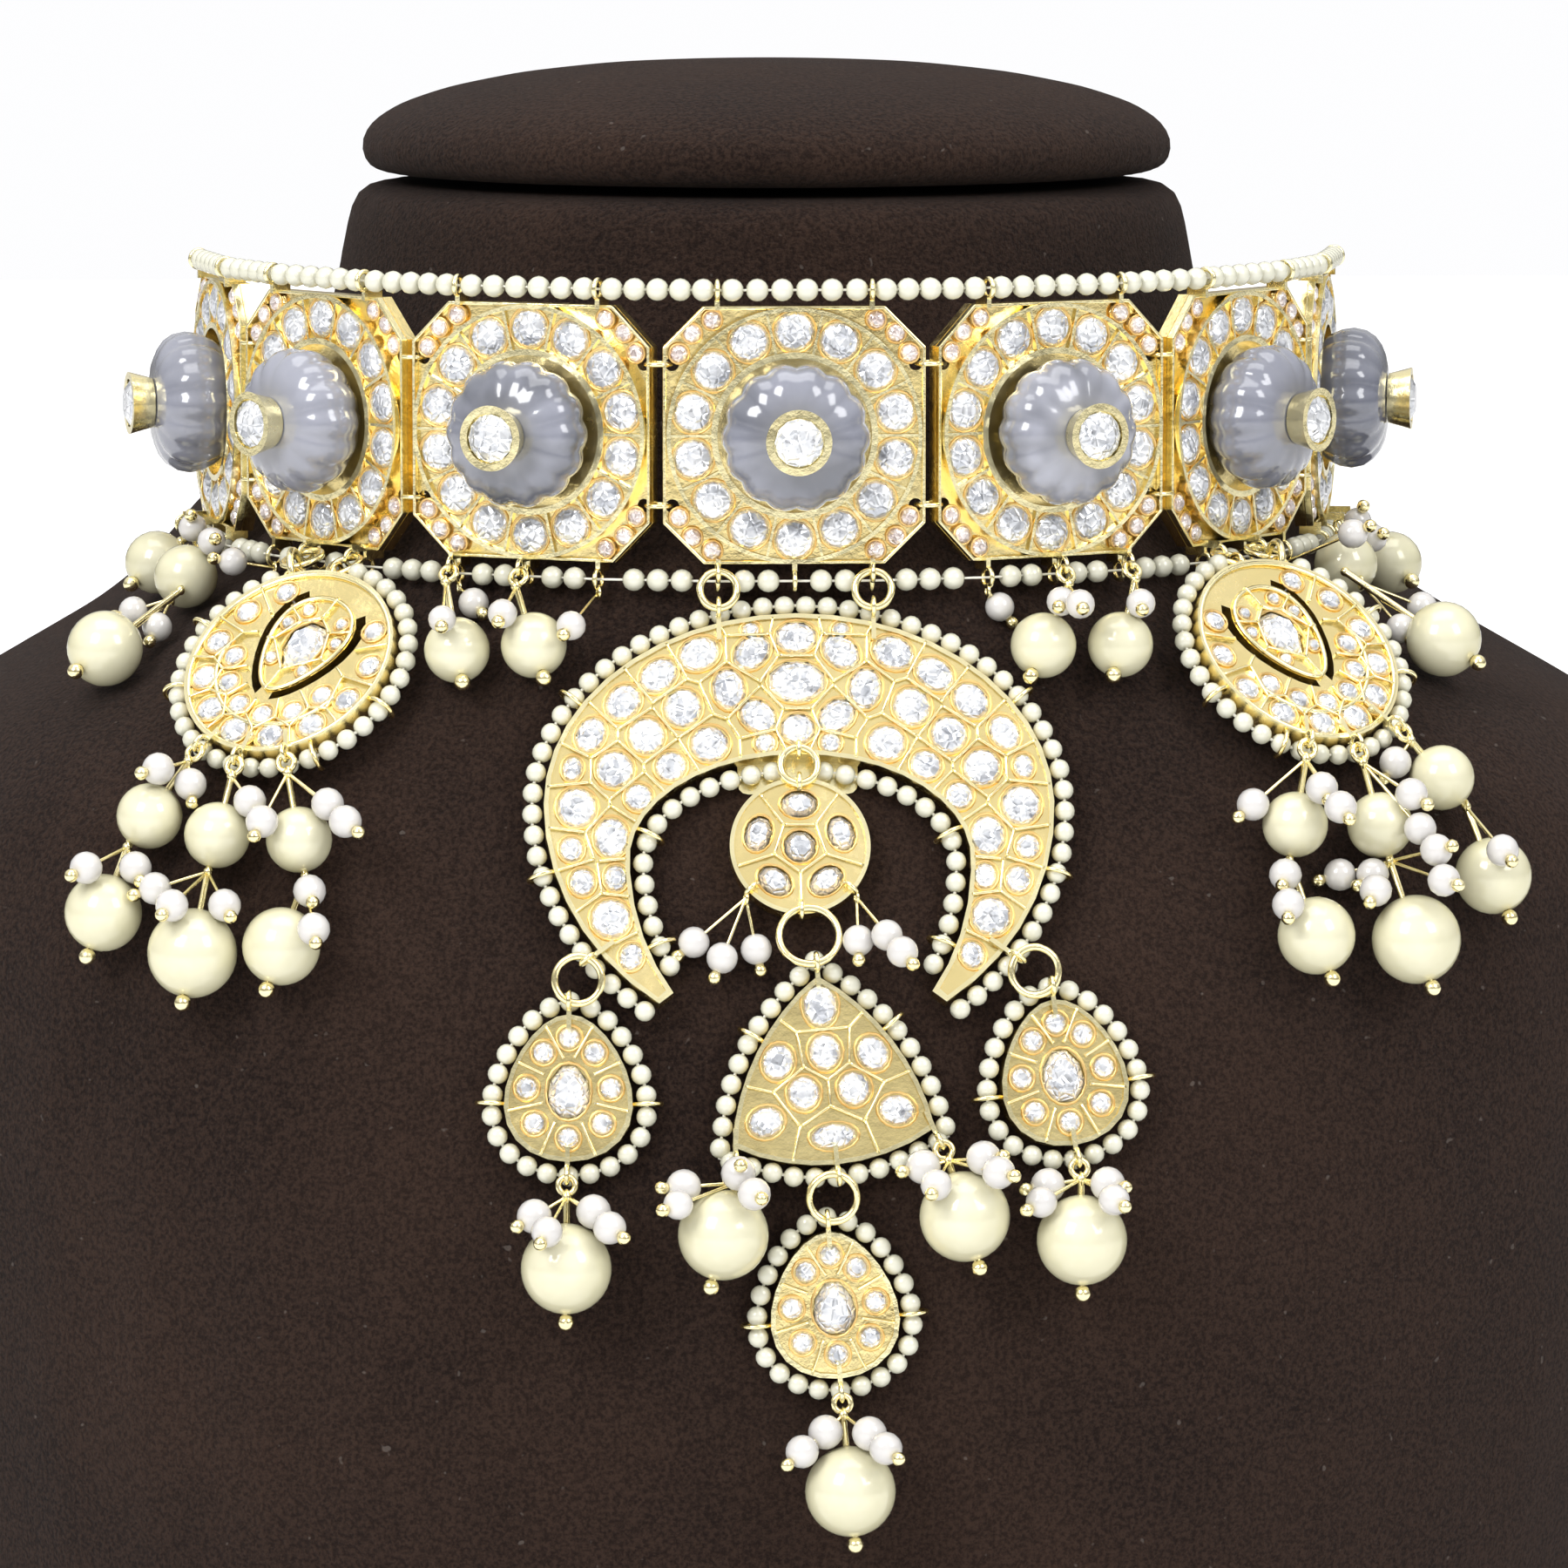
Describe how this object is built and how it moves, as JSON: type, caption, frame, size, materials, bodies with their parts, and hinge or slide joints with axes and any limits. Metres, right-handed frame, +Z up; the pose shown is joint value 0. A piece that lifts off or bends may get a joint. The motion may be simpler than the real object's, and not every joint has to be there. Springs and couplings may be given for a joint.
{
  "type": "kundan choker necklace on a neck bust",
  "caption": "Gold kundan choker of octagonal stone plaques with grey melon beads, crescent, triangle and teardrop pendants and pearl drops, on a plain brown padded neck bust.",
  "frame": {"origin": "centre of the flat base of the neck bust, below the neck axis", "axes": "+X to the viewer's right across the shoulders, -Y towards the front of the necklace, +Z up the neck"},
  "size_m": [0.242, 0.174, 0.2091],
  "materials": {
    "suede": "napped",
    "gold": "polished",
    "polki": "polished",
    "melon_glass": "polished",
    "pearl": "lustrous",
    "dark_pearl": "lustrous",
    "pink_stone": "polished",
    "cord": "braided",
    "thread": "clear thread"
  },
  "bodies": {
    "root": {"neck_bust": "suede", "bust_cap": "suede", "plaque_1": "gold", "plaque_2": "gold", "plaque_3": "gold", "plaque_4": "gold", "plaque_5": "gold", "plaque_6": "gold", "plaque_7": "gold", "polki_1": "polki", "polki_2": "polki", "polki_3": "polki", "polki_4": "polki", "polki_5": "polki", "polki_6": "polki", "polki_7": "polki", "melon_1": "melon_glass", "melon_2": "melon_glass", "melon_3": "melon_glass", "melon_4": "melon_glass", "melon_5": "melon_glass", "melon_6": "melon_glass", "melon_7": "melon_glass", "bead_cups": "gold", "cup_stones": "polki", "plaque_links": "gold", "crescent": "gold", "crescent_stones": "polki", "crescent_edging": "pearl", "disc": "gold", "disc_stones": "polki", "triangle": "gold", "triangle_stones": "polki", "triangle_edging": "pearl", "teardrop_left": "gold", "teardrop_right": "gold", "teardrop_low": "gold", "teardrop_stones": "polki", "teardrop_edging": "pearl", "moon_left": "gold", "moon_right": "gold", "leaf_stones": "polki", "moon_edging": "pearl", "top_strand": "pearl", "bottom_strand": "pearl", "hanger_rings": "gold", "drop_pearls": "dark_pearl", "drop_pins": "gold", "back_cord": "cord", "cord_ends": "gold", "cord_clasp": "gold"}
  },
  "joints": []
}
